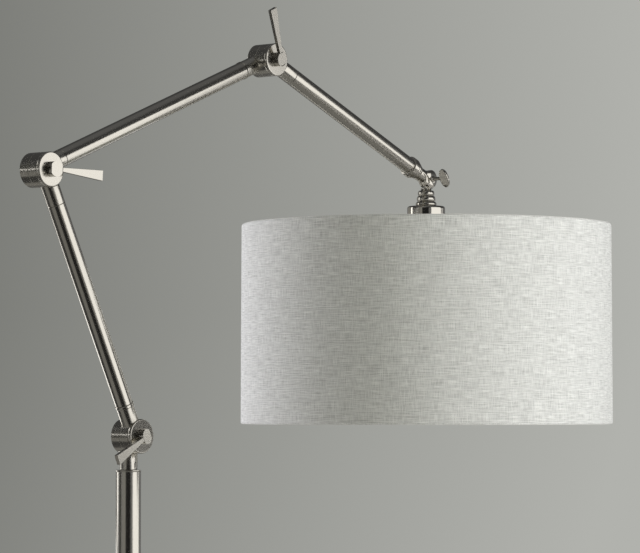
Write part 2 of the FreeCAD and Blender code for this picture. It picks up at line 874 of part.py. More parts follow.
# ---- Stand -----------------------------------------------------------------------------
weight_top = base_height - base_cover_wall
pocket_ceiling = pad_thickness + nut_pocket_depth
base_nut_top = pocket_ceiling - base_washer_thickness
base_nut_low = base_nut_top - base_nut_height
base_radius = base_diameter / 2
weight_radius = base_radius - base_cover_wall - weight_gap
nipple_hole = nipple_radius + loose_clearance


def base_cover():
    """Spun cover with a rounded shoulder and a hole in its back for the cord inlet."""
    wall = base_cover_wall
    soft = base_rounding
    inner_soft = soft - wall
    top = base_height
    cover = turned(
        (nipple_hole, top),
        (base_radius - soft, top),
        (quarter(base_radius - soft, top - soft, soft), (base_radius, top - soft)),
        (base_radius, base_cover_lift),
        (base_radius - wall, base_cover_lift),
        (base_radius - wall, top - soft),
        (quarter(base_radius - soft, top - soft, inner_soft), (base_radius - soft, top - wall)),
        (nipple_hole, top - wall),
    )
    return cover.cut(inlet(grommet_hole_diameter / 2, base_radius - 2 * soft, base_radius + soft))


def inlet(radius, near, far):
    """Cylinder at the back of the base, along the way the cord would leave."""
    length = far - near
    start = FreeCAD.Vector(-near, 0, grommet_height)
    return Part.makeCylinder(radius, length, start, FreeCAD.Vector(-1, 0, 0))


def base_weight():
    """Cast disc with a pocket for the nut and a channel to the cord inlet."""
    weight = turned(
        (nipple_hole, pocket_ceiling),
        (nut_pocket_diameter / 2, pocket_ceiling),
        (nut_pocket_diameter / 2, pad_thickness),
        (weight_radius, pad_thickness),
        (weight_radius, weight_top - base_rounding),
        (weight_radius - base_rounding, weight_top),
        (nipple_hole, weight_top),
    )
    channel_floor = grommet_height - cord_channel_height / 2
    channel = Part.makeBox(
        base_radius, cord_channel_width, cord_channel_height,
        FreeCAD.Vector(-base_radius, -cord_channel_width / 2, channel_floor),
    )
    open_below = Part.makeBox(
        base_radius, cord_channel_width, channel_floor - pad_thickness,
        FreeCAD.Vector(-base_radius, -cord_channel_width / 2, pad_thickness),
    )
    depth = weight_radius - 2 * grommet_flange_thickness
    seat = inlet(grommet_flange_diameter / 2 + loose_clearance, depth, base_radius)
    return weight.cut(channel).cut(open_below).cut(seat)


def cord_grommet():
    """Rubber bush in the cover, with a flange on each side of the wall."""
    flange = grommet_flange_diameter / 2
    sleeve = grommet_hole_diameter / 2 - plug_clearance
    bore = grommet_bore / 2
    wall_out = base_radius
    sag = base_radius - math.sqrt(base_radius ** 2 - flange ** 2)
    wall_in = base_radius - base_cover_wall - sag
    grommet = turned(
        (bore, wall_in - grommet_flange_thickness),
        (flange, wall_in - grommet_flange_thickness),
        (flange, wall_in),
        (sleeve, wall_in),
        (sleeve, wall_out),
        (flange, wall_out),
        (flange - edge_break, wall_out + grommet_flange_thickness),
        (bore, wall_out + grommet_flange_thickness),
    )
    grommet.rotate(origin, FreeCAD.Vector(0, 1, 0), -90)
    grommet.translate(FreeCAD.Vector(0, 0, grommet_height))
    return grommet


def post_foot():
    """Turned collar at the foot of the post, with a concave flare."""
    flange = foot_diameter / 2
    lip = post_radius + foot_lip
    top = base_height + foot_height
    seat = post_radius + plug_clearance
    edge = base_height + foot_edge
    waist = ((flange + lip) / 2 - foot_lip, (edge + top) / 2 - foot_lip)
    return turned(
        (nipple_radius + plug_clearance, base_height),
        (flange, base_height),
        (flange, edge),
        (waist, (lip, top)),
        (seat, top),
        (seat, post_foot_level),
        (nipple_radius + plug_clearance, post_foot_level),
    )


def post_tube(low, high):
    """One length of the post."""
    return turned(
        (post_bore_radius, low),
        (post_radius - edge_break / 2, low),
        (post_radius, low + edge_break / 2),
        (post_radius, high - edge_break / 2),
        (post_radius - edge_break / 2, high),
        (post_bore_radius, high),
    )


def post_coupler():
    """Threaded coupler between the two post tubes, with a thin lip that shows."""
    plug = post_bore_radius - plug_clearance
    bore = coupler_bore / 2
    lip = coupler_lip / 2
    return turned(
        (bore, post_middle - lip - coupler_depth),
        (plug, post_middle - lip - coupler_depth),
        (plug, post_middle - lip),
        (post_radius, post_middle - lip),
        (post_radius, post_middle + lip),
        (plug, post_middle + lip),
        (plug, post_middle + lip + coupler_depth),
        (bore, post_middle + lip + coupler_depth),
    )


def post_top_ring():
    """Insert that closes the post and holds the neck of the post joint."""
    plug = post_bore_radius - plug_clearance
    bore = neck_plug_diameter / 2 + plug_clearance
    lip_low = post_top - top_ring_lip
    return turned(
        (bore, lip_low - top_ring_depth),
        (plug, lip_low - top_ring_depth),
        (plug, lip_low),
        (post_radius, lip_low),
        (post_radius, post_top - edge_break),
        (post_radius - edge_break, post_top),
        (bore, post_top),
    )


def ring_about_nipple(radius, low, high):
    """Washer or plug with a hole for the nipple."""
    disc = post(radius, low, high)
    return disc.cut(post(nipple_radius + plug_clearance, low, high))


def make_stand():
    """Weighted base, its fixings, and the two-part post."""
    pad_radius = base_radius - pad_margin
    nipple_low = base_nut_low - nipple_tail
    nipple_high = post_foot_level + foot_plug_length - edge_break
    nut = hexagon(base_nut_flats, base_nut_low, base_nut_top)
    plug_radius = post_bore_radius - plug_clearance
    nipple = post(nipple_radius, nipple_low, nipple_high)
    lip = coupler_lip / 2
    parts["base_pad"] = post(pad_radius, 0, pad_thickness)
    parts["base_weight"] = base_weight()
    parts["base_cover"] = base_cover()
    parts["cord_grommet"] = cord_grommet()
    parts["base_washer"] = ring_about_nipple(base_washer_diameter / 2, base_nut_top, pocket_ceiling)
    parts["base_nut"] = nut.cut(post(nipple_radius + plug_clearance, base_nut_low, base_nut_top))
    parts["base_nipple"] = nipple.cut(post(wire_bore / 2, nipple_low, nipple_high))
    parts["post_foot"] = post_foot()
    parts["post_plug"] = ring_about_nipple(
        plug_radius, post_foot_level, post_foot_level + foot_plug_length
    )
    parts["lower_post"] = post_tube(post_foot_level, post_middle - lip)
    parts["post_coupler"] = post_coupler()
    parts["upper_post"] = post_tube(post_middle + lip, post_top - top_ring_lip)
    parts["post_top_ring"] = post_top_ring()


make_stand()
make_joints()
make_arm_tubes()
make_knuckle(make_arm_end())
make_shade_head()

os.makedirs("parts", exist_ok=True)
for name, shape in parts.items():
    shape.exportStep("parts/" + name + ".step")
    box = shape.BoundBox
    print(f"{name:20s} solids {len(shape.Solids)} valid {shape.isValid()} "
          f"volume {shape.Volume / 1000:9.2f} cm3 z {box.ZMin:8.2f} to {box.ZMax:8.2f}")
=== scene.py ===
import json
import math

import bmesh
import bpy
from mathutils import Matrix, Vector


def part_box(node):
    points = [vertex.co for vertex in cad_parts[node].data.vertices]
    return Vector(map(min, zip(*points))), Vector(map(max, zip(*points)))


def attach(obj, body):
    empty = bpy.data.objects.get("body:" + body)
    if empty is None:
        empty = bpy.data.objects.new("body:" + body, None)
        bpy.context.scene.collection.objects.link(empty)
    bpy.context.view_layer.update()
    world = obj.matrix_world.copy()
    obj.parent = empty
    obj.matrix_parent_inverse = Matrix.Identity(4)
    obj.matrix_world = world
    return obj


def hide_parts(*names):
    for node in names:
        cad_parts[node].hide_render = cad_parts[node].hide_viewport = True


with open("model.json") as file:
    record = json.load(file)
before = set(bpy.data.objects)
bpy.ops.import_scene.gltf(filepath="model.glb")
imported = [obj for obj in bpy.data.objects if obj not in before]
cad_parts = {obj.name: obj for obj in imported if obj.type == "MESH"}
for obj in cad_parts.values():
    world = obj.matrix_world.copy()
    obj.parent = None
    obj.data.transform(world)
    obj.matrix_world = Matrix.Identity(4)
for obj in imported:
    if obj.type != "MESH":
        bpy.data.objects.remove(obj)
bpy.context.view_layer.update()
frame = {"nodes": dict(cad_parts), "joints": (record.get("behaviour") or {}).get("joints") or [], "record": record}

# Bridge floor lamp in brushed nickel with a linen drum shade.  Everything is in metres.
joints = {joint["name"]: Vector(joint["pos_m"]) for joint in frame["joints"]}
body_of_node = {
    node: body
    for body, nodes in frame["record"]["behaviour"]["bodies"].items()
    for node in nodes
}

# ---- Places and sizes that come from the frame ------------------------------------------
UP = Vector((0, 0, 1))
FRONT = Vector((0, -1, 0))


def middle(node):
    """Centre of a node's box."""
    low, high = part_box(node)
    return (low + high) / 2


def aim(start, end):
    """Unit direction from one joint to the next, in the plane of the arms."""
    way = joints[end] - joints[start]
    way.y = 0
    return way.normalized()


shade_low, shade_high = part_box("shade_fabric")
shade_centre = (shade_low + shade_high) / 2
shade_axis = Vector((shade_centre.x, shade_centre.y, 0))
lower_way = aim("post_hinge", "elbow_hinge")
middle_way = aim("elbow_hinge", "top_hinge")
outer_way = aim("top_hinge", "knuckle_hinge")
cap_low, cap_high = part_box("elbow_cap")
barrel_radius = (cap_high.z - cap_low.z) / 2

# ---- Finishes: colours, roughness and the scale of their patterns ---------------------
NICKEL = (0.60, 0.58, 0.53)
STEEL = (0.42, 0.42, 0.42)
IRON = (0.045, 0.045, 0.047)
FELT = (0.035, 0.035, 0.037)
RUBBER = (0.022, 0.022, 0.022)
NYLON = (0.40, 0.39, 0.37)
PHENOLIC = (0.035, 0.032, 0.03)
BRASS = (0.72, 0.52, 0.23)
ENAMEL = (0.74, 0.72, 0.68)
STYRENE = (0.80, 0.79, 0.76)
LINEN = (0.67, 0.675, 0.66)

TUBE_ROUGHNESS = 0.17       # of the nickel on each kind of part
JOINT_ROUGHNESS = 0.2
BASE_ROUGHNESS = 0.24
COLLAR_ROUGHNESS = 0.10
FITTING_ROUGHNESS = 0.12
HEAD_ROUGHNESS = 0.09

LINE_PITCH = 0.00025        # between the fine lines of turned metal
LINE_RISE = 0.0000003
THREAD_PITCH = 0.0036       # of the lamp cap's thread
YARN_PITCH = 0.00118        # between the yarns of the linen
YARN_RISE = 0.0003


# ---- Shader sums -----------------------------------------------------------------------
class Link:
    """A shader socket.  Sums on it add Math nodes, and node() adds any other node."""

    def __init__(self, tree, socket=None):
        self.tree = tree
        self.socket = socket

    def node(self, kind, inputs=None, out=0, stops=None, **settings):
        """Add a node: settings first, then the values or links of its sockets."""
        made = self.tree.nodes.new(kind)
        for name, value in settings.items():
            setattr(made, name, value)
        if stops:
            ramp = made.color_ramp
            while len(ramp.elements) < len(stops):
                ramp.elements.new(1.0)
            for element, (place, grey) in zip(ramp.elements, stops):
                element.position = place
                element.color = (grey, grey, grey, 1)
        for name, value in (inputs or {}).items():
            if isinstance(value, Link):
                self.tree.links.new(value.socket, made.inputs[name])
            else:
                made.inputs[name].default_value = value
        return Link(self.tree, made.outputs[out])

    def sum(self, operation, *terms):
        """Math node on this socket and the terms."""
        inputs = {number: term for number, term in enumerate((self,) + terms)}
        return self.node("ShaderNodeMath", inputs, operation=operation)

    def swapped(self, operation, first):
        """Math node with a plain number before this socket."""
        return self.node("ShaderNodeMath", {0: first, 1: self}, operation=operation)

    def __add__(self, other):
        return self.sum("ADD", other)

    def __sub__(self, other):
        return self.sum("SUBTRACT", other)

    def __mul__(self, other):
        return self.sum("MULTIPLY", other)

    def __truediv__(self, other):
        return self.sum("DIVIDE", other)

    def __rsub__(self, other):
        return self.swapped("SUBTRACT", other)

    def __rtruediv__(self, other):
        return self.swapped("DIVIDE", other)

    __radd__ = __add__
    __rmul__ = __mul__

    def vector(self, operation, other=None, out=0, **more):
        """Vector Math node on this socket."""
        inputs = {0: self}
        if other is not None:
            inputs[1] = other
        inputs.update(more)
        return self.node("ShaderNodeVectorMath", inputs, out, operation=operation)

    def noise(self, scale, detail=2.0, roughness=0.5):
        """Noise from 0 to 1 read at this vector."""
        return self.node(
            "ShaderNodeTexNoise",
            {"Vector": self, "Scale": scale, "Detail": detail, "Roughness": roughness},
        )

    def ramp(self, low, high):
        """0 below low, 1 above high and straight between."""
        return self.node(
            "ShaderNodeMapRange", {"Value": self, "From Min": low, "From Max": high}
        )

    def pack(self, second, third):
        """Vector of this number and two more."""
        return self.node("ShaderNodeCombineXYZ", {0: self, 1: second, 2: third})

    def blend(self, first, second):
        """First colour at 0 and second at 1: four numbers each, or links."""
        return self.node("ShaderNodeMix", {0: self, 6: first, 7: second}, 2, data_type="RGBA")

    def tint(self, dark, light):
        """Colour between two plain colours, at this factor."""
        return self.blend(dark + (1,), light + (1,))

    def bump(self, rise, strength=1.0):
        """Normal from this height; rise is the depth of the relief."""
        return self.node(
            "ShaderNodeBump", {"Height": self, "Distance": rise, "Strength": strength}
        )


def finish(name, colour, roughness=0.5, metallic=0.0, **constants):
    """New material; returns it, its shader node and a Link to start sums from."""
    material = bpy.data.materials.new(name)
    material.use_nodes = True
    shader = material.node_tree.nodes["Principled BSDF"]
    shader.inputs["Base Color"].default_value = colour + (1,)
    shader.inputs["Roughness"].default_value = roughness
    shader.inputs["Metallic"].default_value = metallic
    for socket, value in constants.items():
        shader.inputs[socket.replace("_", " ")].default_value = value
    return material, shader, Link(material.node_tree)


def feed(shader, **links):
    """Link results to the shader's sockets."""
    for name, link in links.items():
        link.tree.links.new(link.socket, shader.inputs[name.replace("_", " ")])


def scaled(colour, factor):
    """Colour made lighter or darker."""
    return tuple(min(1.0, channel * factor) for channel in colour)


# ---- Materials --------------------------------------------------------------------------
def object_place(start):
    """Place on the piece, in metres."""
    return start.node("ShaderNodeTexCoord", out=3)


def lathe_lines(start, centre, axis):
    """Fine lines that a lathe leaves: rings round an axis, on its sides and on its ends."""
    place = object_place(start).vector("SUBTRACT", tuple(centre))
    along = place.vector("DOT_PRODUCT", tuple(axis), out=1)
    drop = start.node(
        "ShaderNodeVectorMath", {0: tuple(axis), "Scale": along}, operation="SCALE"
    )
    across = place.vector("SUBTRACT", drop).vector("LENGTH", out=1)
    track = (along + across) / LINE_PITCH
    slow = place.noise(55.0, 1.0)
    return track.pack(slow * 3.0, 0.0).noise(1.0, 3.0, 0.6)


def nickel(name, centre, axis, roughness=TUBE_ROUGHNESS, second=None):
    """Brushed nickel turned about an axis.  second is (centre, axis) of a stub that grows out
    of the barrel round the centre."""
    material, shader, start = finish(name, NICKEL, roughness, 1.0)
    lines = lathe_lines(start, centre, axis)
    if second:
        stub_lines = lathe_lines(start, second[0], second[1])
        flat = object_place(start).vector("SUBTRACT", tuple(centre))
        flat = flat.vector("MULTIPLY", (1.0, 0.0, 1.0)).vector("LENGTH", out=1)
        outside = flat.ramp(barrel_radius - 0.0001, barrel_radius + 0.0003)
        lines = lines * (1.0 - outside) + stub_lines * outside
    smudge = object_place(start).noise(38.0, 3.0, 0.6)
    cloud = object_place(start).noise(9.0, 2.0)
    feed(
        shader,
        Base_Color=cloud.tint(scaled(NICKEL, 0.93), scaled(NICKEL, 1.05)),
        Roughness=roughness - 0.035 + 0.05 * smudge + 0.04 * lines,
        Normal=lines.bump(LINE_RISE),
    )
    return material


def plain_metal(name, colour, roughness, grain=900.0):
    """Steel or brass left as it came from the machine."""
    material, shader, start = finish(name, colour, roughness, 1.0)
    fine = object_place(start).noise(grain, 3.0, 0.6)
    stain = object_place(start).noise(60.0, 4.0, 0.6)
    feed(
        shader,
        Base_Color=stain.tint(scaled(colour, 0.8), scaled(colour, 1.12)),
        Roughness=roughness - 0.06 + 0.16 * stain,
        Normal=fine.bump(0.000012),
    )
    return material


def threaded_brass(axis_place):
    """Drawn brass with the rolled thread that a lamp cap screws into."""
    material, shader, start = finish("threaded_brass", BRASS, 0.25, 1.0)
    place = object_place(start).vector("SUBTRACT", tuple(axis_place))
    along = start.node("ShaderNodeSeparateXYZ", {0: place})
    across = start.node("ShaderNodeSeparateXYZ", {0: place}, out=1)
    height = start.node("ShaderNodeSeparateXYZ", {0: place}, out=2)
    turn = across.sum("ARCTAN2", along)
    wave = (height * (2 * math.pi / THREAD_PITCH) + turn).sum("SINE")
    stain = object_place(start).noise(60.0, 4.0, 0.6)
    feed(
        shader,
        Base_Color=stain.tint(scaled(BRASS, 0.8), scaled(BRASS, 1.1)),
        Roughness=0.2 + 0.14 * stain,
        Normal=wave.bump(0.0004),
    )
    return material


def cast_iron(name):
    """Rough painted casting."""
    material, shader, start = finish(name, IRON, 0.7)
    lumps = object_place(start).noise(420.0, 4.0, 0.65)
    feed(
        shader,
        Base_Color=lumps.tint(scaled(IRON, 0.7), scaled(IRON, 1.6)),
        Roughness=0.55 + 0.3 * lumps,
        Normal=lumps.bump(0.0003),
    )
    return material


def moulded(name, colour, roughness, rise=0.00002, **constants):
    """Moulded plastic, nylon or rubber."""
    material, shader, start = finish(name, colour, roughness, **constants)
    fine = object_place(start).noise(1500.0, 2.0)
    cloud = object_place(start).noise(70.0, 3.0)
    feed(
        shader,
        Base_Color=cloud.tint(scaled(colour, 0.85), scaled(colour, 1.15)),
        Roughness=roughness - 0.05 + 0.12 * cloud,
        Normal=fine.bump(rise),
    )
    return material


def felt(name):
    """Needled felt with loose hairs."""
    material, shader, start = finish(name, FELT, 0.95, Sheen_Weight=0.4)
    hairs = object_place(start).vector("MULTIPLY", (1.0, 3.0, 1.0)).noise(900.0, 4.0, 0.7)
    feed(
        shader,
        Base_Color=hairs.tint(scaled(FELT, 0.5), scaled(FELT, 1.9)),
        Normal=hairs.bump(0.0003),
    )
    return material


def linen(name):
    """Plain weave of uneven yarns with long slubs, read from the cloth's own map. The weave's rise and fall also
    goes into the colour as painted shade in the gaps between the yarns.
    """
    material, shader, start = finish(
        name, LINEN, 0.88, Sheen_Weight=0.01, Sheen_Roughness=0.5
    )
    cloth = start.node("ShaderNodeUVMap", uv_map="cloth")
    round_way = start.node("ShaderNodeSeparateXYZ", {0: cloth})
    high_way = start.node("ShaderNodeSeparateXYZ", {0: cloth}, out=1)
    sway = cloth.noise(60.0, 2.0) - 0.5
    wobble = cloth.noise(350.0, 2.0) - 0.5
    warp = round_way / YARN_PITCH + 0.6 * sway + 0.35 * wobble
    weft = high_way / YARN_PITCH + 0.9 * sway + 0.35 * wobble
    weft_size = (round_way * 55.0).pack(weft, 0.0).noise(1.0, 2.0, 0.5) - 0.5
    long_size = (round_way * 16.0).pack(weft, 9.0).noise(1.0, 1.0) - 0.5
    warp_size = warp.pack(high_way * 75.0, 5.0).noise(1.0, 2.0, 0.5) - 0.5
    over = (warp * math.pi).sum("SINE") * (weft * math.pi).sum("SINE")
    warp_round = (warp * math.pi).sum("COSINE").sum("ABSOLUTE")
    weft_round = (weft * math.pi).sum("COSINE").sum("ABSOLUTE")
    warp_top = (1.0 - warp_round * 0.75) * (0.5 + 0.5 * over) * (1.0 + 1.6 * warp_size)
    weft_top = (1.0 - weft_round * 0.75) * (0.5 - 0.5 * over) * (1.0 + 2.0 * weft_size)
    weave = warp_top.sum("MAXIMUM", weft_top)
    slubs = weft_size.ramp(0.12, 0.26)
    cross_slubs = warp_size.ramp(0.14, 0.28)
    fibres = cloth.noise(2600.0, 3.0, 0.7) - 0.5
    patches = cloth.noise(40.0, 3.0) - 0.5
    # Colour factor: the yarns' own tone (thick and thin yarns, slubs, fibres, patches) plus painted shade in the
    # gaps between the yarns from the weave term.
    shade = (
        0.50
        + 0.60 * (weave - 0.35)
        + 1.30 * weft_size
        + 0.55 * long_size
        + 0.95 * warp_size
        + 0.35 * slubs
        + 0.15 * cross_slubs
        + 0.20 * fibres
        + 0.15 * patches
    )
    height = weave + 2.0 * weft_size + 1.6 * long_size + 0.7 * warp_size
    height = height + 0.6 * slubs + 0.4 * cross_slubs + 0.25 * fibres
    feed(
        shader,
        Base_Color=shade.tint(scaled(LINEN, 0.66), scaled(LINEN, 1.34)),
        Normal=height.bump(YARN_RISE, 0.8),
    )
    return material


def styrene(name):
    """Smooth white lining."""
    material, shader, start = finish(name, STYRENE, 0.42)
    cloud = object_place(start).noise(22.0, 3.0)
    peel = object_place(start).noise(700.0, 2.0)
    feed(
        shader,
        Base_Color=cloud.tint(scaled(STYRENE, 0.96), scaled(STYRENE, 1.03)),
        Roughness=0.36 + 0.12 * cloud,
        Normal=peel.bump(0.00003),
    )
    return material


def enamel(name):
    """Sprayed enamel on the wire work."""
    material, shader, start = finish(name, ENAMEL, 0.35, Coat_Weight=0.2)
    peel = object_place(start).noise(500.0, 3.0)
    cloud = object_place(start).noise(40.0, 2.0)
    feed(
        shader,
        Base_Color=cloud.tint(scaled(ENAMEL, 0.93), scaled(ENAMEL, 1.05)),
        Roughness=0.28 + 0.16 * peel,
        Normal=peel.bump(0.00005),
    )
    return material


# ---- Meshes -----------------------------------------------------------------------------
SOFT_ANGLE = math.radians(28)       # edges sharper than this stay sharp
CLOTH_ANGLE = math.radians(50)


def soften(mesh, angle=SOFT_ANGLE):
    """Smooth shading that keeps the edges sharper than an angle."""
    mesh.shade_smooth()
    mesh.set_sharp_from_angle(angle=angle)


def settle(piece, material, body, nodes=()):
    """Give a finished piece its material and body, keep its flat faces flat, and hide the nodes that it stands in
    for.
    """
    piece.data.materials.clear()
    piece.data.materials.append(material)
    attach(piece, body)
    flat_faces = piece.modifiers.new("flat_faces", "WEIGHTED_NORMAL")
    flat_faces.keep_sharp = True
    if nodes:
        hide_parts(*nodes)
    return piece


def dress(node, material, angle=SOFT_ANGLE):
    """Smooth, merged copy of a rigid node in its finish."""
    mesh = frame["nodes"][node].data.copy()
    mesh.name = node + "_finished"
    work = bmesh.new()
    work.from_mesh(mesh)
    bmesh.ops.remove_doubles(work, verts=work.verts, dist=0.000002)
    bmesh.ops.dissolve_degenerate(work, edges=work.edges, dist=0.000001)
    work.to_mesh(mesh)
    work.free()
    soften(mesh, angle)
    piece = bpy.data.objects.new(node + "_finished", mesh)
    bpy.context.scene.collection.objects.link(piece)
    return settle(piece, material, body_of_node[node], (node,))


# ---- Stand ------------------------------------------------------------------------------
def make_stand():
    """Post, foot and base."""
    stand_metal = nickel("nickel_stand", Vector((0, 0, 0)), UP)
    base_metal = nickel("nickel_base", Vector((0, 0, 0)), UP, BASE_ROUGHNESS)
    for node in ("post_foot", "lower_post", "post_coupler", "upper_post", "post_top_ring"):
        dress(node, stand_metal)
    dress("base_cover", base_metal)
    dress("cord_grommet", moulded("grommet_rubber", RUBBER, 0.6))
    dress("base_weight", cast_iron("cast_weight"))
    dress("base_pad", felt("base_felt"))


def make_joints():
    """The three clamp joints, each half turned about its own barrel and stub."""
    washer = moulded("washer_nylon", NYLON, 0.4)
    shapes = (
        ("post_joint", "post_hinge", UP, lower_way, Vector((0, 0, 0))),
        ("elbow", "elbow_hinge", middle_way, lower_way, None),
        ("top_joint", "top_hinge", middle_way, outer_way, None),
    )
    for name, joint, rear_way, front_way, neck in shapes:
        place = joints[joint]
        rear_line = Vector(place)
        rear_line.y = middle("middle_arm_tube").y
        if neck is not None:
            rear_line = neck
        front_line = Vector(place)
        front_line.y = middle("lower_arm_tube").y
        stubs = {"_rear": (rear_line, rear_way), "_front": (front_line, front_way)}
        for part in ("_rear", "_front", "_cap", "_lever"):
            metal = nickel(
                "nickel_" + name + part, place, FRONT, JOINT_ROUGHNESS, stubs.get(part)
            )
            dress(name + part, metal)
        dress(name + "_washer", washer)
        dress(name + "_bolt", plain_metal("bolt_" + name, STEEL, 0.35))


def make_arms():
    """Arm tubes, the small ring and the turned end of the outer arm."""
    tubes = (
        ("lower_arm_tube", "post_hinge", lower_way),
        ("lower_arm_ring", "post_hinge", lower_way),
        ("middle_arm_tube", "elbow_hinge", middle_way),
        ("middle_arm_ring", "elbow_hinge", middle_way),
        ("outer_arm_tube", "top_hinge", outer_way),
        ("outer_arm_collar", "top_hinge", outer_way),
        ("knuckle_fork", "top_hinge", outer_way),
    )
    for node, joint, way in tubes:
        line = Vector(joints[joint])
        line.y = middle(node).y
        turned = node in ("outer_arm_collar", "knuckle_fork")
        roughness = COLLAR_ROUGHNESS if turned else TUBE_ROUGHNESS
        dress(node, nickel("nickel_" + node, line, way, roughness))
    pivot = joints["knuckle_hinge"]
    fittings = (
        ("collar_screw", "nickel_screw", outer_way),
        ("knuckle_nut", "nickel_nut", FRONT),
        ("knuckle_thumbscrew", "nickel_thumbscrew", FRONT),
    )
    for node, name, way in fittings:
        dress(node, nickel(name, pivot, way, FITTING_ROUGHNESS))


def make_lampholder():
    """Stem, cup and lampholder under the knuckle."""
    metal = nickel("nickel_shade_head", shade_axis, UP, HEAD_ROUGHNESS)
    dress("shade_stem", metal)
    dress("holder_cup", metal)
    dress("lampholder_body", moulded("phenolic", PHENOLIC, 0.35, 0.00001))
    dress("shade_ring", moulded("phenolic_ring", PHENOLIC, 0.4, 0.00001))
    brass = plain_metal("brass", BRASS, 0.3)
    dress("lampholder_shell", threaded_brass(shade_axis))
    dress("lampholder_contact", brass)


# ---- Shade ------------------------------------------------------------------------------
CLOTH_SEGMENTS = 360
CLOTH_THICKNESS = 0.0009
HEM_LENGTH = 0.012          # cloth turned in over each ring
ROLL_RADIUS = 0.0020        # of the cloth round a ring wire
ROLL_STEPS = 8
WALL_ROWS = 24              # of faces up the outside of the cloth
HEM_STEP = 0.001            # over which a hem thins out to the wall
EDGE_TAPER = 0.001          # the top edge is this much nearer to the shade's axis
SEAM_AZIMUTH = math.radians(52)
SEAM_WIDTH = 0.012
SEAM_RISE = 0.0006


def cloth_section():
    """Closed outline of the wall, as (distance in from the outer face, height) points."""
    roll = ROLL_RADIUS
    top = shade_high.z - roll
    low = shade_low.z + roll
    inside = 2 * roll
    fold = inside - CLOTH_THICKNESS / 2
    points = [(0.0, low + row / WALL_ROWS * (top - low)) for row in range(WALL_ROWS + 1)]
    for step in range(1, ROLL_STEPS + 1):
        turn = math.pi * step / ROLL_STEPS
        points.append((roll * (1 - math.cos(turn)), top + roll * math.sin(turn)))
    points.append((inside, top - HEM_LENGTH))
    points.append((fold, top - HEM_LENGTH))
    points.append((CLOTH_THICKNESS, top - HEM_LENGTH - HEM_STEP))
    points.append((CLOTH_THICKNESS, low + HEM_LENGTH + HEM_STEP))
    points.append((fold, low + HEM_LENGTH))
    points.append((inside, low + HEM_LENGTH))
    for step in range(ROLL_STEPS):
        turn = math.pi * step / ROLL_STEPS
        points.append((inside - roll * (1 - math.cos(turn)), low - roll * math.sin(turn)))
    return points


def make_cloth():
    """Linen cover: one cylinder with rolled edges, turned-in hems and a lapped seam."""
    section = cloth_section()
    low_radius = shade_high.x - shade_centre.x
    top_radius = low_radius - EDGE_TAPER
    work = bmesh.new()
    cloth_map = work.loops.layers.uv.new("cloth")
    columns = []
    for number in range(CLOTH_SEGMENTS):
        turn = 2 * math.pi * number / CLOTH_SEGMENTS
        off_seam = (turn - SEAM_AZIMUTH) * low_radius
        lap = SEAM_RISE if 0 <= off_seam < SEAM_WIDTH else 0.0
        column = []
        for inset, height in section:
            share = (height - shade_low.z) / (shade_high.z - shade_low.z)
            radius = low_radius + share * (top_radius - low_radius) - inset
            if inset == 0.0:
                radius += lap
            place = (
                shade_centre.x + radius * math.cos(turn),
                shade_centre.y + radius * math.sin(turn),
                height,
            )
            column.append(work.verts.new(place))
        columns.append(column)
    runs = [0.0]
    for first, second in zip(section, section[1:] + section[:1]):
        runs.append(runs[-1] + math.dist(first, second))
    for number in range(CLOTH_SEGMENTS):
        left = columns[number]
        right = columns[(number + 1) % CLOTH_SEGMENTS]
        near = number * 2 * math.pi * low_radius / CLOTH_SEGMENTS
        far = (number + 1) * 2 * math.pi * low_radius / CLOTH_SEGMENTS
        for row in range(len(section)):
            above = (row + 1) % len(section)
            face = work.faces.new((left[row], right[row], right[above], left[above]))
            corners = (
                (near, runs[row]), (far, runs[row]), (far, runs[row + 1]), (near, runs[row + 1])
            )
            for loop, corner in zip(face.loops, corners):
                loop[cloth_map].uv = corner
    bmesh.ops.recalc_face_normals(work, faces=work.faces)
    mesh = bpy.data.meshes.new("linen_cover")
    work.to_mesh(mesh)
    work.free()
    soften(mesh, CLOTH_ANGLE)
    piece = bpy.data.objects.new("linen_cover", mesh)
    bpy.context.scene.collection.objects.link(piece)
    settle(piece, linen("linen"), "shade_head", ("shade_fabric",))
    return piece


def make_shade():
    """Linen cover on its lining, and the wire work inside."""
    cover = make_cloth()
    wire = enamel("wire_enamel")
    lining = dress("shade_liner", styrene("styrene_lining"))
    dress("shade_carrier", wire)
    dress("shade_bottom_ring", wire)


# ---- Camera, floor and light ---------------------------------------------------------------
IMAGE_WIDTH = 640
FOCAL_LENGTH_PIXELS = 3150.0
CAMERA_PLACE = Vector((-2.5437, -2.3890, 1.1824))
CAMERA_TURN = math.radians(50.27)       # from +Y towards +X
CAMERA_RISE = math.radians(2.37)
BACKDROP_DARK = (0.205, 0.208, 0.192)
BACKDROP_LIGHT = (0.44, 0.445, 0.418)
# The room that metal shows: grey against height, from straight down at 0 to straight up at 1.
ROOM_GREYS = (
    (0.0, 0.20),
    (0.47, 0.21),
    (0.50, 0.22),
    (0.56, 0.19),
    (0.66, 0.07),
    (0.86, 0.055),
    (0.94, 0.13),
)
NEAR_WALLS = (0.28, 0.275, 0.255)       # the room's lighter walls, behind the camera and left
DARK_CORNER = (0.05, 0.05, 0.045)
ROOM_FILL = (0.030, 0.029, 0.023)       # what cloth and plastic get from the room
FLOOR_RADIUS = 9.0
FLOOR_COLOUR = (0.56, 0.56, 0.55)
FLOOR_IN_METAL = (0.215, 0.21, 0.195)
FLOOR_TONE = (0.42, 0.425, 0.40)        # evens out the floor for the camera
FLOOR_TONE_SHARE = 0.72
CARD_COLOUR = (1.0, 0.985, 0.96)
AHEAD = Vector((math.sin(CAMERA_TURN), math.cos(CAMERA_TURN), 0))
ASIDE = Vector((math.cos(CAMERA_TURN), -math.sin(CAMERA_TURN), 0))


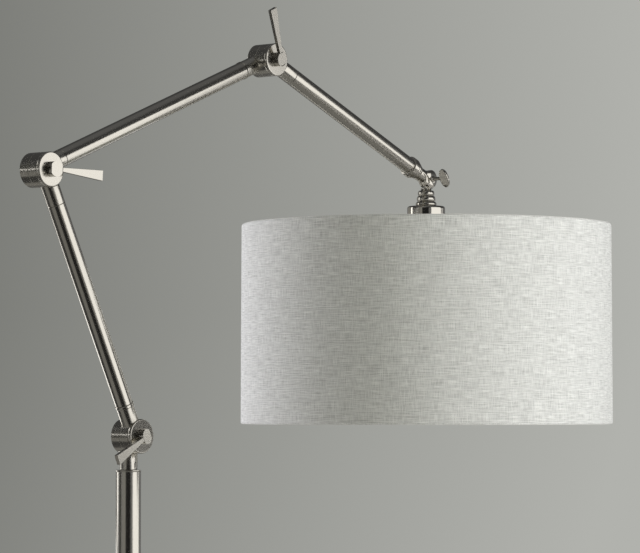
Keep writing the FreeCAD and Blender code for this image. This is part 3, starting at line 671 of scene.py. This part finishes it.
def make_camera():
    """Camera fitted to the photograph's view, at the assumed real size."""
    data = bpy.data.cameras.new("camera")
    data.sensor_fit = "HORIZONTAL"
    data.sensor_width = 36.0
    data.lens = FOCAL_LENGTH_PIXELS / IMAGE_WIDTH * data.sensor_width
    data.clip_end = 60.0
    camera = bpy.data.objects.new("camera", data)
    camera.location = CAMERA_PLACE
    camera.rotation_euler = (math.pi / 2 + CAMERA_RISE, 0, -CAMERA_TURN)
    bpy.context.scene.collection.objects.link(camera)
    bpy.context.scene.camera = camera


def lamp(name, place, target, width, height, radiance, tint):
    """Rectangular lamp for cloth, plastic and floor.  Metal doesn't see it."""
    data = bpy.data.lights.new(name, "AREA")
    data.shape = "RECTANGLE"
    data.size = width
    data.size_y = height
    data.energy = radiance * math.pi * width * height
    data.color = tint
    light = bpy.data.objects.new(name, data)
    light.location = place
    light.rotation_euler = (Vector(target) - Vector(place)).to_track_quat("-Z", "Y").to_euler()
    light.visible_camera = False
    light.visible_glossy = False
    bpy.context.scene.collection.objects.link(light)


def card(name, corners, brightness):
    """Flat studio card that only metal sees: bright or black."""
    work = bmesh.new()
    work.faces.new([work.verts.new(corner) for corner in corners])
    mesh = bpy.data.meshes.new(name)
    work.to_mesh(mesh)
    work.free()
    material = bpy.data.materials.new(name)
    material.use_nodes = True
    material.cycles.emission_sampling = "NONE"
    tree = material.node_tree
    tree.nodes.clear()
    glow = tree.nodes.new("ShaderNodeEmission")
    glow.inputs["Color"].default_value = CARD_COLOUR + (1,)
    glow.inputs["Strength"].default_value = brightness
    output = tree.nodes.new("ShaderNodeOutputMaterial")
    tree.links.new(glow.outputs[0], output.inputs["Surface"])
    mesh.materials.append(material)
    piece = bpy.data.objects.new(name, mesh)
    piece.visible_camera = False
    piece.visible_diffuse = False
    piece.visible_shadow = False
    piece.visible_transmission = False
    bpy.context.scene.collection.objects.link(piece)


def make_floor():
    """Pale floor.  Metal sees it in one even tone."""
    work = bmesh.new()
    bmesh.ops.create_circle(work, cap_ends=True, radius=FLOOR_RADIUS, segments=96)
    mesh = bpy.data.meshes.new("floor")
    work.to_mesh(mesh)
    work.free()
    material, shader, start = finish("floor", FLOOR_COLOUR, 0.75)
    material.cycles.emission_sampling = "NONE"
    glossy = start.node("ShaderNodeLightPath", out=3)
    seen_by_metal = start.node(
        "ShaderNodeEmission", {"Color": FLOOR_IN_METAL + (1,), "Strength": 1.0}
    )
    surface = Link(start.tree, shader.outputs[0])
    even = start.node("ShaderNodeEmission", {"Color": FLOOR_TONE + (1,), "Strength": 1.0})
    share = start.node("ShaderNodeLightPath") * FLOOR_TONE_SHARE
    surface = start.node("ShaderNodeMixShader", {0: share, 1: surface, 2: even})
    both = start.node("ShaderNodeMixShader", {0: glossy, 1: surface, 2: seen_by_metal})
    output = material.node_tree.nodes["Material Output"]
    material.node_tree.links.new(both.socket, output.inputs["Surface"])
    mesh.materials.append(material)
    floor = bpy.data.objects.new("floor", mesh)
    bpy.context.scene.collection.objects.link(floor)


def band(link, low, high, edge):
    """1 between low and high, falling to 0 over edge on both sides."""
    return link.ramp(low - edge, low) * link.ramp(high + edge, high)


def make_world():
    """Studio round the lamp: a wall for the camera that gets lighter to the right, a dim room
    for the metal with lighter walls and one dark corner, and soft fill for cloth and plastic."""
    world = bpy.data.worlds.new("studio")
    world.use_nodes = True
    world.cycles.sampling_method = "NONE"
    bpy.context.scene.world = world
    tree = world.node_tree
    tree.nodes.clear()
    start = Link(tree)
    way = start.node("ShaderNodeTexCoord", out=0)
    rise = start.node("ShaderNodeSeparateXYZ", {0: way}, out=2)
    ahead = way.vector("DOT_PRODUCT", tuple(AHEAD), out=1)
    aside = way.vector("DOT_PRODUCT", tuple(ASIDE), out=1)
    wall = aside.ramp(-0.105, 0.105) + 0.10 * rise.ramp(0.03, -0.05)
    backdrop = wall.tint(BACKDROP_DARK, BACKDROP_LIGHT)
    room = rise.node("ShaderNodeValToRGB", {0: rise * 0.5 + 0.5}, stops=ROOM_GREYS)
    corner = aside.ramp(-0.85, -0.95) * band(ahead, -0.33, -0.05, 0.12)
    near = aside.ramp(0.1, -0.2) * ahead.ramp(-0.3, -0.8)
    left_wall = band(rise, 0.05, 0.36, 0.10) * aside.ramp(-0.3, -0.6) * ahead.ramp(0.0, 0.3)
    room = near.sum("MAXIMUM", left_wall).blend(room, NEAR_WALLS + (1,))
    room = corner.blend(room, DARK_CORNER + (1,))
    path = start.node("ShaderNodeLightPath", out=0)
    glossy = start.node("ShaderNodeLightPath", out=3)
    colour = path.blend(glossy.blend(ROOM_FILL + (1,), room), backdrop)
    background = start.node("ShaderNodeBackground", {"Color": colour, "Strength": 1.0})
    output = tree.nodes.new("ShaderNodeOutputWorld")
    tree.links.new(background.socket, output.inputs["Surface"])


LAMP_TARGET = (shade_centre.x, 0.0, 1.3)
# Lamps: name, place, target, width, height, radiance and tint.
LAMPS = (
    ("key", (0.78, -2.24, 1.45), LAMP_TARGET, 1.6, 2.6, 4.5, (1.0, 1.0, 0.985)),
    ("back", (-0.44, 2.40, 1.6), LAMP_TARGET, 1.6, 2.6, 6.0, (0.985, 0.975, 1.02)),
    ("fill", (-2.0, -1.05, 1.5), LAMP_TARGET, 1.6, 2.2, 0.8, (1.0, 0.99, 0.75)),
    ("top", (0.3, 0.0, 3.4), (0.3, 0.0, 0.0), 2.5, 2.5, 0.15, (0.97, 1.0, 0.90)),
)
FRONT_WALL = -2.0           # Y of the cards in front of the lamp
BACK_WALL = 2.0
MAT_HEIGHT = 0.01           # of the dark mats over the floor
POOL_HEIGHT = 0.012         # of the bright pools over the floor


def upright(y, *corners):
    """Corners of a card that stands across the studio at this Y, from (x, z) pairs."""
    return [Vector((x, y, z)) for x, z in corners]


def lying(z, *corners):
    """Corners of a card that lies over the floor, from (x, y) pairs."""
    return [Vector((x, y, z)) for x, y in corners]


def banner(centre, half, low, high):
    """Corners of an upright card that reaches half to both sides of a place."""
    return [
        centre - half + low * UP,
        centre + half + low * UP,
        centre + half + high * UP,
        centre - half + high * UP,
    ]


def make_lights():
    """Soft lamps for the cloth and the floor, and cards that give the metal its bands."""
    for lamp_settings in LAMPS:
        lamp(*lamp_settings)
    window = upright(
        FRONT_WALL,
        (-0.25, 0.0), (4.6, 0.0), (4.3, 0.5), (3.2, 1.05),
        (2.75, 1.6), (2.57, 1.93), (2.45, 2.45), (-0.25, 2.45),
    )
    card("front_card", window, 1.38)
    back = upright(BACK_WALL, (-0.90, 0.95), (-0.90, 2.5), (-0.35, 2.5), (-0.35, 0.95))
    card("back_card", back, 2.0)
    low = upright(BACK_WALL, (-0.05, 0.3), (-0.05, 0.95), (0.8, 0.95), (0.8, 0.3))
    card("low_card", low, 1.8)
    mat = lying(MAT_HEIGHT, (-1.6, 1.0), (-0.1, 1.0), (0.0, 3.2), (-1.6, 3.2))
    card("back_mat", mat, 0.05)
    mat = lying(MAT_HEIGHT, (0.9, 0.6), (3.8, 0.6), (3.8, 3.8), (0.9, 3.8))
    card("side_mat", mat, 0.12)
    for near, far, radiance in ((-1.6, -2.0, 0.75), (-1.2, -1.6, 0.40)):
        pool = lying(POOL_HEIGHT, (-0.3, far), (4.6, far), (4.6, near), (-0.3, near))
        card("window_pool", pool, radiance)
    spur = upright(FRONT_WALL, (3.45, 1.22), (4.5, 1.22), (4.5, 1.75), (3.45, 1.75))
    card("window_spur", spur, 1.2)
    flag = joints["post_hinge"] + 0.6 * Vector((0.732, -0.72, -0.009))
    half = 0.12 * Vector((0.68, 0.73, 0.0))
    flag -= 0.25 * half
    card("flag", banner(flag, half, -0.065, 0.15), 0.08)
    line = banner(Vector((-1.9, 1.6, 1.5)), 1.1 * Vector((0.65, 0.76, 0)), -0.05, 0.05)
    card("line_card", line, 1.9)
    behind = -2.2 * AHEAD
    half = 0.95 * ASIDE
    card("black_card", banner(behind, half, 0.0, 2.6), 0.02)
    lift = MAT_HEIGHT * UP
    reach = 1.15 * AHEAD
    mat = [
        behind - 0.8 * half + lift,
        behind + half + lift,
        behind + half + reach + lift,
        behind - 0.55 * half + reach + lift,
    ]
    card("black_mat", mat, 0.02)


scene = bpy.context.scene
scene.view_settings.view_transform = "Standard"

make_stand()
make_joints()
make_arms()
make_lampholder()
make_shade()
hidden_steel = plain_metal("plain_steel", STEEL, 0.4)
for hidden in ("base_nipple", "base_washer", "base_nut", "post_plug", "holder_nipple"):
    dress(hidden, hidden_steel)
make_floor()
make_world()
make_lights()
make_camera()
